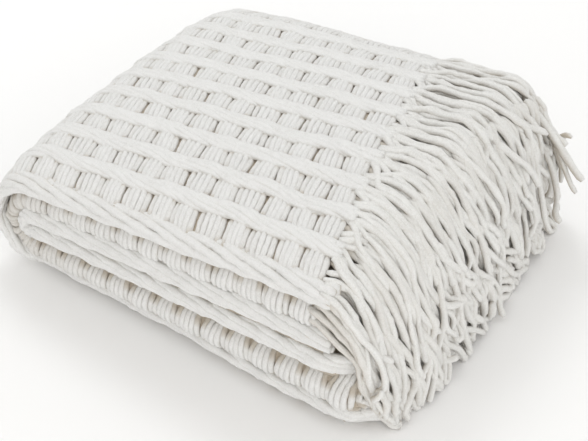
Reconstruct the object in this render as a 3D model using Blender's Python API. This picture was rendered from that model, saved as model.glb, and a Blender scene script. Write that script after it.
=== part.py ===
"""A woven throw with a fringe at both ends, folded into a square stack.

Metres, +Z up. +X runs from the folded left side to the fringed right side, +Y from front to back.
The stack stands on Z = 0 and is centred on its own outline.

The throw is folded four times over. First the two fringed ends are laid together. The doubled cloth
is then folded back and forth into four panels, and that packet is folded over once more at the left.
So the cloth is one sheet that lies in 16 layers, and both fringed ends come out on the right.
"""
import math

import bmesh
import bpy
from mathutils import Vector

# The layers of one packet
LAYER_PITCH = 0.0094             # from one layer to the next, where the stack is at its full height
CLOTH_THICKNESS = 0.0075         # ridges and weft of the soft weave, slightly pressed
PACKET_GAP = 0.003               # between the upper and the lower packet

# Footprint of the stack, measured from its left end and its front
DEPTH_RIGHT = 0.333
DEPTH_LEFT = 0.320
BEND_SQUEEZE = 0.62              # the left bend is pressed flatter than a half circle
UPPER_END = 0.3590               # right end of the upper packet's layers
UPPER_INNER_END = 0.352          # right end of the cloth's second end, inside the first
LOWER_END = 0.3900               # where the lower packet's hairpin folds begin
LOWER_END_SHOULDER = 0.018       # how much shorter its upper layers are
LOWER_END_FOOT = 0.004           # how much shorter its lowest layers are
LOWER_END_BACK = 0.022           # how much shorter all its layers are at the back
FLAP_FRONT = 0.360               # right end of the topmost layer, at the front
FLAP_SKEW = 0.103                # how much further left it ends at the back
SELVAGE_TOP = 0.0                # front edge of the topmost panel
SELVAGE_LOW = 0.002              # front edge of the lowest panel of a packet
FRONT_FOLD_SET_BACK = 0.005      # the front fold between them lies this far behind
FOOT_TUCK = 0.020                # the front's foot is tucked in by this much
FOOT_HEIGHT = 0.032              # up to this height
FOOT_DEPTH = 0.090               # and back to here

# Height of the stack over its footprint
WEDGE_LENGTH = 0.365
WEDGE_POWER = 0.82
WEDGE_SHARES = (0.02, 1.15)      # the wedge goes on rising no further than this, as shares of its length
LEFT_FRONT = 0.100
LEFT_BACK = 0.095
LEFT_DOME = 0.017
RIGHT_FRONT = 0.164
RIGHT_BACK = 0.152
RIGHT_DOME = 0.025
FRONT_DROP = 0.012               # the top rounds down by this much at the front
BACK_DROP = 0.010                # and by this much at the back
EDGE_REACH = 0.020
BUMPS = ((0.0009, 0.180, 0.4), (0.0005, 0.120, 2.1))   # height, wave length and phase of unevenness

# Ridges of the weave on the top and round the left bend
RIDGE_PITCH = 0.0329
RIDGE_HEIGHT = 0.0035

# Fringe
STRIP_GAP = 0.0004               # between a fringe's backing strip and the cloth's end
STRIP_WIDTH = 0.004
STRAND_HALF = 0.0021
ROW_GAP = 0.004                  # between the two rows of strands on one strip
FLAP_STRANDS = 42
FLAP_STRAND_LENGTH = 0.172
FLAP_STRAND_PARTS = 7
FLAP_REACH = 0.413               # how far right the upper strands hang
INNER_STRANDS = 30               # in each of the two rows of the lower fringe
INNER_STRAND_LENGTH = 0.150
INNER_STRAND_PARTS = 6
INNER_REACH = (0.4005, 0.4065)   # lower row, upper row
INNER_REACH_BACK = 0.018         # how much less they reach at the back
HANG_SHOULDER = 0.050            # height at which the strands turn straight down
CURVE_FULLNESS = 0.8             # below 1 the strands curve wider over the edge
TIP_HEIGHT = 0.0025              # lowest point of a strand's middle line
STRAND_SWAY = 0.0030
SWAY_WAVE = 0.160
GATHER = 0.018                   # strands at the front corner swing back by this much
GATHER_DEPTH = 0.110
LENGTH_VARIATION = 0.010
VARIATION_STEP = 2.4             # change of phase from one strand to the next

# Mesh steps
PANEL_STEPS = 6
FOLD_STEPS = 4
LENGTH_STEPS = 6
BEND_STEPS = 6
HAIRPIN_STEPS = 3
PATH_STEPS = 24

HALF_PACKET = 4 * LAYER_PITCH
BEND_CENTRE = HALF_PACKET + PACKET_GAP / 2      # from the left bend's axis to a packet's middle
FLAP_RISE = 3.5 * LAYER_PITCH                   # the topmost layer, above the packet's middle
INNER_RISE = LAYER_PITCH                        # the fold below it, where the lower fringe is rooted
AXIS_HEIGHT = BEND_CENTRE + FLAP_RISE + CLOTH_THICKNESS / 2
BEND_START = BEND_SQUEEZE * AXIS_HEIGHT
FOLD_REACH = 1.5 * LAYER_PITCH + CLOTH_THICKNESS / 2
FRONT_FOLD = FOLD_REACH + FRONT_FOLD_SET_BACK
BACK_FOLD = DEPTH_RIGHT - FOLD_REACH
TINY = 1e-9


def stack_height(x, y):
    """Height of the stack's top over a point, before the ridges."""
    across = min(max(y / DEPTH_RIGHT, 0.0), 1.0)
    along = min(max(x / WEDGE_LENGTH, WEDGE_SHARES[0]), WEDGE_SHARES[1]) ** WEDGE_POWER
    dome = math.sin(math.pi * across)
    left = LEFT_FRONT + (LEFT_BACK - LEFT_FRONT) * across + LEFT_DOME * dome
    right = RIGHT_FRONT + (RIGHT_BACK - RIGHT_FRONT) * across + RIGHT_DOME * dome
    edges = FRONT_DROP * math.exp(-across * DEPTH_RIGHT / EDGE_REACH)
    edges += BACK_DROP * math.exp(-(1.0 - across) * DEPTH_RIGHT / EDGE_REACH)
    uneven = 0.0
    for height, wave, phase in BUMPS:
        turn = 2 * math.pi / wave
        uneven += height * math.sin(turn * x + phase) * math.sin(turn * y - phase)
    return left + (right - left) * along - edges + uneven


def settle(x, depth, level):
    """Moves a point of the evenly folded stack to its place in the sagging one."""
    share = min(max(x / WEDGE_LENGTH, 0.0), 1.0)
    y = depth * (DEPTH_LEFT + (DEPTH_RIGHT - DEPTH_LEFT) * share) / DEPTH_RIGHT
    low = max(1.0 - level / FOOT_HEIGHT, 0.0)
    near = min(max(1.0 - depth / FOOT_DEPTH, 0.0), 1.0)
    y += FOOT_TUCK * low ** 2 * near
    return Vector((x, y, level * stack_height(x, y) / (2 * AXIS_HEIGHT)))


def section_stations():
    """Middle line of the doubled cloth in one packet, as rows of depth, rise, normal and ridge.

    It starts at the front edge of the topmost panel. Rise is measured from the packet's middle.
    """
    rows = []

    def add(depth, rise, normal, ridge=0.0):
        rows.append({"depth": depth, "rise": rise, "normal": normal, "ridge": ridge})

    def add_fold(centre_depth, centre_rise, first, last, side):
        for step in range(FOLD_STEPS + 1):
            angle = first + (last - first) * step / FOLD_STEPS
            out = (math.cos(angle), math.sin(angle))
            add(centre_depth + LAYER_PITCH * out[0], centre_rise + LAYER_PITCH * out[1],
                (side * out[0], side * out[1]))

    def add_panel(start, end, rise, side):
        for step in range(1, PANEL_STEPS):
            add(start + (end - start) * step / PANEL_STEPS, rise, (0.0, side))

    step = 0
    depth = SELVAGE_TOP
    while depth < BACK_FOLD - RIDGE_PITCH / 4:
        add(depth, 3 * LAYER_PITCH, (0.0, 1.0), float(step % 2 == 0))
        step += 1
        depth = SELVAGE_TOP + step * RIDGE_PITCH / 2
    add_fold(BACK_FOLD, 2 * LAYER_PITCH, math.pi / 2, -math.pi / 2, 1.0)
    add_panel(BACK_FOLD, FRONT_FOLD, LAYER_PITCH, -1.0)
    add_fold(FRONT_FOLD, 0.0, math.pi / 2, 3 * math.pi / 2, -1.0)
    add_panel(FRONT_FOLD, BACK_FOLD, -LAYER_PITCH, 1.0)
    add_fold(BACK_FOLD, -2 * LAYER_PITCH, math.pi / 2, -math.pi / 2, 1.0)
    add_panel(BACK_FOLD, SELVAGE_LOW, -3 * LAYER_PITCH, -1.0)
    add(SELVAGE_LOW, -3 * LAYER_PITCH, (0.0, -1.0))
    return rows


def flap_end(depth):
    """Right end of the topmost layer at a given depth."""
    return FLAP_FRONT - FLAP_SKEW * depth / DEPTH_RIGHT


def upper_end(station):
    """Right end of the first cloth end at a section station."""
    if station["rise"] >= 3 * LAYER_PITCH - TINY:
        return flap_end(station["depth"])
    if station["rise"] > LAYER_PITCH + TINY:
        share = (3 * LAYER_PITCH - station["rise"]) / (2 * LAYER_PITCH)
        return flap_end(BACK_FOLD) + (UPPER_END - flap_end(BACK_FOLD)) * share
    return UPPER_END


def lower_end(station):
    """Where the lower packet turns back, shorter in its upper layers so that its end is rounded."""
    up = max(-station["rise"] / HALF_PACKET, 0.0)
    down = max(station["rise"] / HALF_PACKET, 0.0)
    back = (station["depth"] / DEPTH_RIGHT) ** 2
    return LOWER_END - LOWER_END_SHOULDER * up ** 2 - LOWER_END_FOOT * down ** 2 - LOWER_END_BACK * back


def sweep_stations():
    """Stations from the first fringed end to the second: place, share along it, hairpin angle, ridge."""
    rows = []

    def add(place, share, turn, ridge=0.0):
        rows.append({"place": place, "share": share, "turn": turn, "ridge": ridge})

    for step in range(LENGTH_STEPS):
        add("first", step / LENGTH_STEPS, 0.0, 1.0)
    for step in range(BEND_STEPS + 1):
        add("bend", step / BEND_STEPS, 0.0, max(1.0 - 2 * step / BEND_STEPS, 0.0))
    for step in range(1, LENGTH_STEPS):
        add("lower", step / LENGTH_STEPS, 0.0)
    for step in range(HAIRPIN_STEPS + 1):
        add("lower", 1.0, math.pi * step / HAIRPIN_STEPS)
    for step in range(LENGTH_STEPS - 1, 0, -1):
        add("lower", step / LENGTH_STEPS, math.pi)
    for step in range(BEND_STEPS, -1, -1):
        add("bend", step / BEND_STEPS, math.pi)
    for step in range(LENGTH_STEPS - 1, -1, -1):
        add("second", step / LENGTH_STEPS, math.pi)
    return rows


def cloth_point(station, sweep, skin):
    """A point of one skin of the sheet. Skin is its distance from the doubled cloth's middle line."""
    ridge = RIDGE_HEIGHT * station["ridge"] * sweep["ridge"] if skin > LAYER_PITCH / 2 else 0.0
    offset = (skin + ridge) * math.cos(sweep["turn"])
    depth = station["depth"] + station["normal"][0] * offset
    rise = station["rise"] + station["normal"][1] * offset
    radius = BEND_CENTRE + rise
    if sweep["place"] == "bend":
        angle = math.pi * sweep["share"]
        x = BEND_START - BEND_SQUEEZE * radius * math.sin(angle)
        return settle(x, depth, AXIS_HEIGHT + radius * math.cos(angle))
    if sweep["place"] == "lower":
        x = BEND_START + (lower_end(station) - BEND_START) * sweep["share"]
        return settle(x + skin * math.sin(sweep["turn"]), depth, AXIS_HEIGHT - radius)
    end = upper_end(station) if sweep["place"] == "first" else UPPER_INNER_END
    x = end + (BEND_START - end) * sweep["share"]
    return settle(x, depth, AXIS_HEIGHT + radius)


def make_object(name, verts, faces, material):
    """A closed mesh object with its faces pointing out."""
    mesh = bpy.data.meshes.new(name)
    mesh.from_pydata(verts, [], faces)
    body = bmesh.new()
    body.from_mesh(mesh)
    bmesh.ops.recalc_face_normals(body, faces=body.faces)
    bmesh.ops.triangulate(body, faces=body.faces)
    body.to_mesh(mesh)
    body.free()
    mesh.materials.append(material)
    mesh.shade_smooth()
    thing = bpy.data.objects.new(name, mesh)
    bpy.context.collection.objects.link(thing)
    return thing


def make_cloth(material):
    """The whole throw but for its fringe: two skins over the same stations, joined round the rim."""
    stations = section_stations()
    sweeps = sweep_stations()
    rows, columns = len(stations), len(sweeps)
    outer = LAYER_PITCH / 2 + CLOTH_THICKNESS / 2
    inner = LAYER_PITCH / 2 - CLOTH_THICKNESS / 2
    verts = [cloth_point(station, sweep, skin)
             for skin in (outer, inner) for station in stations for sweep in sweeps]

    def at(skin, row, column):
        return (skin * rows + row) * columns + column

    faces = []
    for row in range(rows - 1):
        for column in range(columns - 1):
            corners = ((row, column), (row, column + 1), (row + 1, column + 1), (row + 1, column))
            faces.append([at(0, r, c) for r, c in corners])
            faces.append([at(1, r, c) for r, c in reversed(corners)])
    for row in range(rows - 1):
        for column in (0, columns - 1):
            faces.append([at(0, row, column), at(1, row, column),
                          at(1, row + 1, column), at(0, row + 1, column)])
    for column in range(columns - 1):
        for row in (0, rows - 1):
            faces.append([at(0, row, column), at(0, row, column + 1),
                          at(1, row, column + 1), at(1, row, column)])
    return make_object("cloth", verts, faces, material)


def hanging_path(start, edge, reach, length, parts):
    """Points of a strand that runs along the top to the edge, curves over it and hangs down."""
    dense = [Vector(start)]
    if edge > start[0]:
        for step in range(1, PATH_STEPS + 1):
            x = start[0] + (edge - start[0]) * step / PATH_STEPS
            rise = stack_height(x, start[1]) / stack_height(start[0], start[1])
            dense.append(Vector((x, start[1], start[2] * rise)))
    corner = dense[-1].copy()
    for step in range(1, PATH_STEPS + 1):
        angle = math.pi / 2 * step / PATH_STEPS
        x = corner.x + (reach - corner.x) * math.sin(angle) ** CURVE_FULLNESS
        z = HANG_SHOULDER + (corner.z - HANG_SHOULDER) * max(math.cos(angle), 0.0) ** CURVE_FULLNESS
        dense.append(Vector((x, start[1], z)))
    dense.append(Vector((reach, start[1], TIP_HEIGHT)))
    run = [0.0]
    for first, second in zip(dense, dense[1:]):
        run.append(run[-1] + (second - first).length)
    length = min(length, run[-1])
    points = []
    for part in range(parts + 1):
        want = length * part / parts
        index = max(i for i in range(len(run) - 1) if run[i] <= want + TINY)
        share = (want - run[index]) / (run[index + 1] - run[index])
        points.append(dense[index].lerp(dense[index + 1], min(share, 1.0)))
    return points


def strand_sway(y, share):
    """Sideways swing of a strand, nearly the same for neighbours so that they stay apart."""
    gather = GATHER * max(1.0 - y / GATHER_DEPTH, 0.0)
    return share * (gather + STRAND_SWAY * math.sin(2 * math.pi * (y / SWAY_WAVE + share / 2)))


def add_strand(verts, faces, root, path, y):
    """Four-sided strand that grows from four strip vertices along a path."""
    previous = root
    last = len(path) - 1
    for index in range(1, last + 1):
        ahead = path[min(index + 1, last)] - path[index - 1]
        ahead.normalize()
        up = Vector((-ahead.z, 0.0, ahead.x))
        middle = path[index] + Vector((0.0, strand_sway(y, index / last), 0.0))
        ring = []
        for side, lift in ((-1, -1), (1, -1), (1, 1), (-1, 1)):
            ring.append(len(verts))
            verts.append(middle + Vector((0.0, side * STRAND_HALF, 0.0)) + up * lift * STRAND_HALF)
        for a in range(4):
            b = (a + 1) % 4
            faces.append([previous[a], previous[b], ring[b], ring[a]])
        previous = ring
    faces.append(previous)


def make_fringe(name, material, end_line, rows, count, middle):
    """A backing strip along a cloth end, with rows of strands that grow out of its outer face.

    Rows are listed from the lowest up, each with its reach, how much less it reaches at the back, its
    strands' length and their number of parts. Middle is the strip's middle, as a rise from the middle of
    the upper packet.
    """
    first, last = SELVAGE_LOW + 2 * STRAND_HALF, BACK_FOLD - 2 * STRAND_HALF
    depths = []
    for index in range(count):
        centre = first + (last - first) * (index + 0.5) / count
        depths += [centre - STRAND_HALF, centre + STRAND_HALF]
    height = len(rows) * 2 * STRAND_HALF + (len(rows) - 1) * ROW_GAP
    rises = []
    for row in range(len(rows)):
        foot = middle - height / 2 + row * (2 * STRAND_HALF + ROW_GAP)
        rises += [foot, foot + 2 * STRAND_HALF]
    levels = len(rises)
    verts, faces = [], []
    for depth in depths:
        inside = end_line(depth) + STRIP_GAP
        for x in (inside, inside + STRIP_WIDTH):
            for rise in rises:
                verts.append(settle(x, depth, AXIS_HEIGHT + BEND_CENTRE + rise))

    def at(station, side, index):
        return (station * 2 + side) * levels + index

    for station in range(len(depths) - 1):
        for index in range(levels - 1):
            for side in (0, 1):
                is_root = side == 1 and station % 2 == 0 and index % 2 == 0
                if not is_root:
                    faces.append([at(station, side, index), at(station + 1, side, index),
                                  at(station + 1, side, index + 1), at(station, side, index + 1)])
        for index in (0, levels - 1):
            faces.append([at(station, 0, index), at(station, 1, index),
                          at(station + 1, 1, index), at(station + 1, 0, index)])
    for station in (0, len(depths) - 1):
        for index in range(levels - 1):
            faces.append([at(station, 0, index), at(station, 0, index + 1),
                          at(station, 1, index + 1), at(station, 1, index)])

    for row, (reach, less, length, parts) in enumerate(rows):
        for index in range(count):
            station = 2 * index
            foot = 2 * row
            root = [at(station, 1, foot), at(station + 1, 1, foot),
                    at(station + 1, 1, foot + 1), at(station, 1, foot + 1)]
            start = sum((verts[corner] for corner in root), Vector()) / 4
            vary = LENGTH_VARIATION * math.sin(index * VARIATION_STEP + row)
            own_reach = reach - less * (start.y / DEPTH_RIGHT) ** 2
            path = hanging_path(start, UPPER_INNER_END, own_reach, length + vary, parts)
            add_strand(verts, faces, root, path, start.y)
    return make_object(name, verts, faces, material)


def make_material(name, colour, roughness):
    material = bpy.data.materials.new(name)
    material.use_nodes = True
    shader = material.node_tree.nodes["Principled BSDF"]
    shader.inputs["Base Color"].default_value = (*colour, 1.0)
    shader.inputs["Roughness"].default_value = roughness
    shader.inputs["Metallic"].default_value = 0.0
    return material


def centre_on_outline(things):
    """Moves the finished pieces so that the middle of their footprint is at the origin."""
    points = [vertex.co for thing in things for vertex in thing.data.vertices]
    middle = Vector(((min(p.x for p in points) + max(p.x for p in points)) / 2,
                     (min(p.y for p in points) + max(p.y for p in points)) / 2, 0.0))
    for thing in things:
        for vertex in thing.data.vertices:
            vertex.co -= middle


for old in list(bpy.data.objects):
    bpy.data.objects.remove(old)

cloth_yarn = make_material("ivory_weave", (0.86, 0.84, 0.79), 0.95)
upper_yarn = make_material("ivory_fringe", (0.88, 0.86, 0.82), 0.95)
lower_yarn = make_material("ivory_fringe_inner", (0.84, 0.82, 0.77), 0.95)

upper_rows = [(FLAP_REACH, 0.0, FLAP_STRAND_LENGTH, FLAP_STRAND_PARTS)]
inner_rows = [(reach, INNER_REACH_BACK, INNER_STRAND_LENGTH, INNER_STRAND_PARTS) for reach in INNER_REACH]
cloth = make_cloth(cloth_yarn)
fringe_upper = make_fringe("fringe_upper", upper_yarn, flap_end, upper_rows, FLAP_STRANDS, FLAP_RISE)
fringe_lower = make_fringe("fringe_lower", lower_yarn, lambda depth: UPPER_END, inner_rows, INNER_STRANDS,
                           INNER_RISE)
centre_on_outline([cloth, fringe_upper, fringe_lower])
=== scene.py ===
import math

import bmesh
import bpy
import numpy as np
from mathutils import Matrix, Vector


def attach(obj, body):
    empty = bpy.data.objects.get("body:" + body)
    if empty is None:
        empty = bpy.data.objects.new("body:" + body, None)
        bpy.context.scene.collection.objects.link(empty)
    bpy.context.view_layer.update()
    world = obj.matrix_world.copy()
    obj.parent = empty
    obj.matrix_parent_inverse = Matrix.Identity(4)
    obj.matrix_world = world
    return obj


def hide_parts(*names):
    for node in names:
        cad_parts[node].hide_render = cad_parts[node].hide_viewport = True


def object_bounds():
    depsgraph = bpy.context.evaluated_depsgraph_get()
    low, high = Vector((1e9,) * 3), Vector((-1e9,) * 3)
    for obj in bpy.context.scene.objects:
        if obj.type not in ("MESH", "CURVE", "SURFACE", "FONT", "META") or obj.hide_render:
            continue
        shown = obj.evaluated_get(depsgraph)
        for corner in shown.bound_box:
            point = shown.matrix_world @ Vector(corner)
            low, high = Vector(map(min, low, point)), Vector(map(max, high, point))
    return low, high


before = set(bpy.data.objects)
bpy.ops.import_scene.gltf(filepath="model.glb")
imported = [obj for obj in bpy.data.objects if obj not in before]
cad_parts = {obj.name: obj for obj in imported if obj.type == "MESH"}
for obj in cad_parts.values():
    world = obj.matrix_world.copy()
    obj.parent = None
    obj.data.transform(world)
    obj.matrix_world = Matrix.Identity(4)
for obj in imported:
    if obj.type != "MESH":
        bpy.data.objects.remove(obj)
cad_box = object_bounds()
bpy.ops.object.select_all(action="DESELECT")
bpy.context.scene.view_settings.view_transform = "Standard"
dice = np.random.default_rng(7)

# Cloth of the throw: one sheet woven of chenille yarn. It is doubled with its two fringed ends together,
# folded back and forth into four panels, and folded over once more at the left. Only its own weight holds
# the folds. This is the thin ground of the weave, and every other piece lies on it.
corner = np.array(cad_box[0])    # places are measured from this corner of the folded throw
LAYER = 0.0094                   # from one layer of cloth to the next
GROUND = 0.0042                  # thickness of the ground under the yarns
FULL_THICKNESS = 0.0075          # of a layer with its yarns, which sets the folds
PACKET_GAP = 0.003               # between the two halves of the last fold
DEPTH_RIGHT = 0.333
DEPTH_LEFT = 0.320

# The stack is low at the folded left side and high at the fringed right side.
SAG_LENGTH = 0.365
SAG_POWER = 0.82
HEIGHT_LEFT = 0.104
HEIGHT_RIGHT = 0.164
BACK_LOWER = 0.012               # the back is this much lower
DOME_LEFT = 0.011
DOME_RIGHT = 0.025
ROUND_FRONT = 0.012              # the top drops this much at its front edge
ROUND_BACK = 0.010
ROUND_WIDTH = 0.020
TOP_WAVES = ((0.0009, 0.18, 0.4), (0.0005, 0.12, 2.1))       # height, length and phase of each


def stack_height(x, y):
    """Height of the stack's top over points of its footprint."""
    across = np.clip(y / DEPTH_RIGHT, 0.0, 1.0)
    along = np.clip(x / SAG_LENGTH, 0.02, 1.15) ** SAG_POWER
    dome = np.sin(np.pi * across)
    left = HEIGHT_LEFT - BACK_LOWER * across + DOME_LEFT * dome
    right = HEIGHT_RIGHT - BACK_LOWER * across + DOME_RIGHT * dome
    edges = ROUND_FRONT * np.exp(-across * DEPTH_RIGHT / ROUND_WIDTH)
    edges = edges + ROUND_BACK * np.exp(-(1.0 - across) * DEPTH_RIGHT / ROUND_WIDTH)
    uneven = 0.0
    for high, length, phase in TOP_WAVES:
        along_wave = np.sin(2 * np.pi * x / length + phase)
        uneven = uneven + high * along_wave * np.sin(2 * np.pi * y / length - phase)
    return left + (right - left) * along - edges + uneven


# The lowest edge at the front is tucked in under the stack, most of all along its left half.
TUCK = 0.020
TUCK_LEFT = 0.015
TUCK_LEFT_FROM = 0.27
TUCK_LEFT_FADE = 0.05
TUCK_AT_BEND = 0.6               # share of the left tuck at the bend itself
TUCK_BEND_FADE = 0.06
TUCK_HEIGHT = 0.032
TUCK_DEPTH = 0.090
DRIFT = 0.0011                   # no layer lies quite straight
DRIFT_WAVES = (0.071, 0.083, 0.09)
PRESSED = 0.955                  # the lower packet is pressed a little flatter
BEND_CENTRE = 4 * LAYER + PACKET_GAP / 2
AXIS_HEIGHT = BEND_CENTRE + 3.5 * LAYER + FULL_THICKNESS / 2


def settle(x, depth, level):
    """Moves points of the evenly folded stack to their place in the sagging one."""
    share = np.clip(x / SAG_LENGTH, 0.0, 1.0)
    y = depth * (DEPTH_LEFT + (DEPTH_RIGHT - DEPTH_LEFT) * share) / DEPTH_RIGHT
    low = np.maximum(1.0 - level / TUCK_HEIGHT, 0.0)
    near = np.clip(1.0 - depth / TUCK_DEPTH, 0.0, 1.0)
    to_left = np.clip((TUCK_LEFT_FROM - x) / TUCK_LEFT_FADE, 0.0, 1.0)
    off_bend = TUCK_AT_BEND + (1.0 - TUCK_AT_BEND) * np.clip(x / TUCK_BEND_FADE, 0.0, 1.0)
    y = y + (TUCK + TUCK_LEFT * to_left * off_bend) * low ** 2 * near
    z = level * stack_height(x, y) / (2 * AXIS_HEIGHT)
    wave_x, wave_y, wave_z = DRIFT_WAVES
    drift = DRIFT * np.sin(2 * np.pi * (x / wave_x + z / wave_z + 0.2)) * np.sin(2 * np.pi * y / wave_y)
    return np.stack([x + drift, y + 0.8 * drift, np.maximum(z, 0.0)], axis=-1)


BEND_SQUEEZE = 0.605             # the left bend is pressed flatter than a half circle
LOWER_DRAWN_IN = 0.50            # and its lower half is drawn in by this share
BEND_INSET = 0.003
BEND_START = BEND_SQUEEZE * AXIS_HEIGHT + BEND_INSET


def bend_reach(radius, turn):
    """How far the left bend stands out at a turn, its lower half drawn in a little."""
    return BEND_SQUEEZE * radius * np.sin(turn) * (1.0 + LOWER_DRAWN_IN * np.minimum(np.cos(turn), 0.0))


FOLD_REACH = 1.5 * LAYER + FULL_THICKNESS / 2
FRONT_SET_BACK = 0.005
FRONT_FOLD = FOLD_REACH + FRONT_SET_BACK
BACK_FOLD = DEPTH_RIGHT - FOLD_REACH
UPPER_END = 0.359                # right ends of the layers
UPPER_INNER_END = 0.352
LOWER_END = 0.390
SHOULDER = 0.018                 # the lower packet's upper layers end this much sooner
FOOT = 0.004                     # and so do its lowest ones
END_BACK = 0.022                 # all its layers end sooner at the back
END_FRONT = 0.021                # and at the front corner
END_FRONT_WIDTH = 0.022
FLAP_FRONT = 0.360
FLAP_SKEW = 0.103                # the first end lies askew by this much over the depth


def flap_end(depth):
    """Right end of the topmost layer, which lies askew."""
    return FLAP_FRONT - FLAP_SKEW * depth / DEPTH_RIGHT


def under_flap(rise):
    """0 on the topmost layer, rising to 1 on the layer below it."""
    return np.clip((3 * LAYER - rise) / (2 * LAYER), 0.0, 1.0)


def upper_end(depth, rise):
    """Right end of the doubled cloth in the upper packet."""
    share = under_flap(rise)
    return flap_end(np.minimum(depth, BACK_FOLD)) * (1 - share) + UPPER_END * share


def lower_end(depth, rise):
    """Right end of the doubled cloth in the lower packet."""
    up = np.maximum(-rise / (4 * LAYER), 0.0)
    down = np.maximum(rise / (4 * LAYER), 0.0)
    back = (depth / DEPTH_RIGHT) ** 2
    end = LOWER_END - SHOULDER * up ** 2 - FOOT * down ** 2 - END_BACK * back
    return end - END_FRONT * np.exp(-(depth / END_FRONT_WIDTH) ** 2)


SELVAGE = 0.004                  # the doubled cloth's edges, in depth
SELVAGE_LOW = 0.007
PANEL_STEPS = 24
FOLD_STEPS = 8


def section_line():
    """Depth, rise and outward direction along the whole doubled cloth of one packet."""
    rows = []

    def panel(start, end, rise, side):
        for t in np.linspace(0.0, 1.0, PANEL_STEPS, endpoint=False):
            rows.append((start + (end - start) * t, rise, 0.0, side))

    def fold(depth, rise, first, last, side):
        for t in np.linspace(0.0, 1.0, FOLD_STEPS, endpoint=False):
            a = first + (last - first) * t
            rows.append((depth + LAYER * math.cos(a), rise + LAYER * math.sin(a),
                         side * math.cos(a), side * math.sin(a)))

    panel(SELVAGE, BACK_FOLD, 3 * LAYER, 1.0)
    fold(BACK_FOLD, 2 * LAYER, math.pi / 2, -math.pi / 2, 1.0)
    panel(BACK_FOLD, FRONT_FOLD, LAYER, -1.0)
    fold(FRONT_FOLD, 0.0, math.pi / 2, 1.5 * math.pi, -1.0)
    panel(FRONT_FOLD, BACK_FOLD, -LAYER, 1.0)
    fold(BACK_FOLD, -2 * LAYER, math.pi / 2, -math.pi / 2, 1.0)
    panel(BACK_FOLD, SELVAGE_LOW, -3 * LAYER, -1.0)
    rows.append((SELVAGE_LOW, -3 * LAYER, 0.0, -1.0))
    return np.array(rows)


END_RECESS = 0.0035              # the ground ends this far inside its last weft strand
INNER_RECESS = 0.010             # and the hidden layers this much further
RECESS_FADE = 0.08
RUN_STEPS = 22                   # points along a straight part, the bend and a turned end
BEND_STEPS = 14
END_STEPS = 7


def ground_skin(skin):
    """Grid of points of one skin of the ground cloth, from the first fringed end to the second."""
    line = section_line()
    middle, rise = line[:, 0], line[:, 1]
    first_end = upper_end(middle, rise)
    second_end = np.full(len(line), UPPER_INNER_END)
    low_end = lower_end(middle, rise)
    inner_recess = INNER_RECESS * under_flap(rise) * np.clip(middle / RECESS_FADE, 0.0, 1.0)
    columns = []
    steps = np.linspace(0.0, 1.0, RUN_STEPS)

    def column(kind, t, turn, end=None):
        reach = skin * math.cos(turn)
        depth = middle + line[:, 2] * reach
        radius = BEND_CENTRE + rise + line[:, 3] * reach
        if kind == "top":
            first = end - END_RECESS - inner_recess
            x, level = first + (BEND_START - first) * t, AXIS_HEIGHT + radius
        elif kind == "bend":
            x = BEND_START - bend_reach(radius, math.pi * t)
            level = AXIS_HEIGHT + radius * math.cos(math.pi * t) * (1.0 - (1.0 - PRESSED) * t)
        else:
            x = BEND_START + (low_end - BEND_START) * t + skin * math.sin(turn)
            level = AXIS_HEIGHT - radius * PRESSED
        columns.append(settle(x, depth, level))

    for t in steps[:-1]:
        column("top", t, 0.0, first_end)
    for t in np.linspace(0.0, 1.0, BEND_STEPS):
        column("bend", t, 0.0)
    for t in steps[1:]:
        column("below", t, 0.0)
    for turn in np.linspace(0.0, math.pi, END_STEPS)[1:-1]:
        column("below", 1.0, turn)
    for t in steps[:0:-1]:
        column("below", t, math.pi)
    for t in np.linspace(1.0, 0.0, BEND_STEPS):
        column("bend", t, math.pi)
    for t in steps[-2::-1]:
        column("top", t, math.pi, second_end)
    return np.stack(columns, axis=1)


def add_mesh(name, points, faces, material):
    """A new smooth mesh object from arrays, its place in its mesh."""
    mesh = bpy.data.meshes.new(name)
    mesh.from_pydata([tuple(p) for p in points], [], faces)
    mesh.materials.append(material)
    mesh.polygons.foreach_set("use_smooth", [True] * len(mesh.polygons))
    mesh.update()
    piece = bpy.data.objects.new(name, mesh)
    bpy.context.collection.objects.link(piece)
    return piece


def ground_cloth(material):
    """The two skins of the ground, closed all round their edges."""
    outer = ground_skin(LAYER / 2 + GROUND / 2)
    inner = ground_skin(LAYER / 2 - GROUND / 2)
    rows, cols = outer.shape[:2]
    points = np.concatenate([outer.reshape(-1, 3), inner.reshape(-1, 3)]) + corner
    faces = []
    second = rows * cols
    for r in range(rows - 1):
        for c in range(cols - 1):
            a, b, d, e = r * cols + c, r * cols + c + 1, (r + 1) * cols + c + 1, (r + 1) * cols + c
            faces.append((a, b, d, e))
            faces.append((second + e, second + d, second + b, second + a))
    for r in range(rows - 1):
        for c in (0, cols - 1):
            a, b = r * cols + c, (r + 1) * cols + c
            quad = (a, b, second + b, second + a)
            faces.append(quad if c == 0 else quad[::-1])
    for c in range(cols - 1):
        for r in (0, rows - 1):
            a, b = r * cols + c, r * cols + c + 1
            quad = (a, second + a, second + b, b)
            faces.append(quad if r == 0 else quad[::-1])
    piece = add_mesh("throw_cloth", points, faces, material)
    body = bmesh.new()
    body.from_mesh(piece.data)
    bmesh.ops.recalc_face_normals(body, faces=body.faces)
    body.to_mesh(piece.data)
    body.free()
    return piece


FINE_PILE = 2400.0               # scales of the yarn's unevenness, finest first
TUFTS = 780.0
KNOTS = 210.0
CLOUDS = 38.0
SHADE_TONE = 0.84                # summed tone at which the yarn has its darker tone, partly its own uneven colour and partly painted shade between tufts, and its full colour
COLOUR_TONE = 1.20


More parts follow.
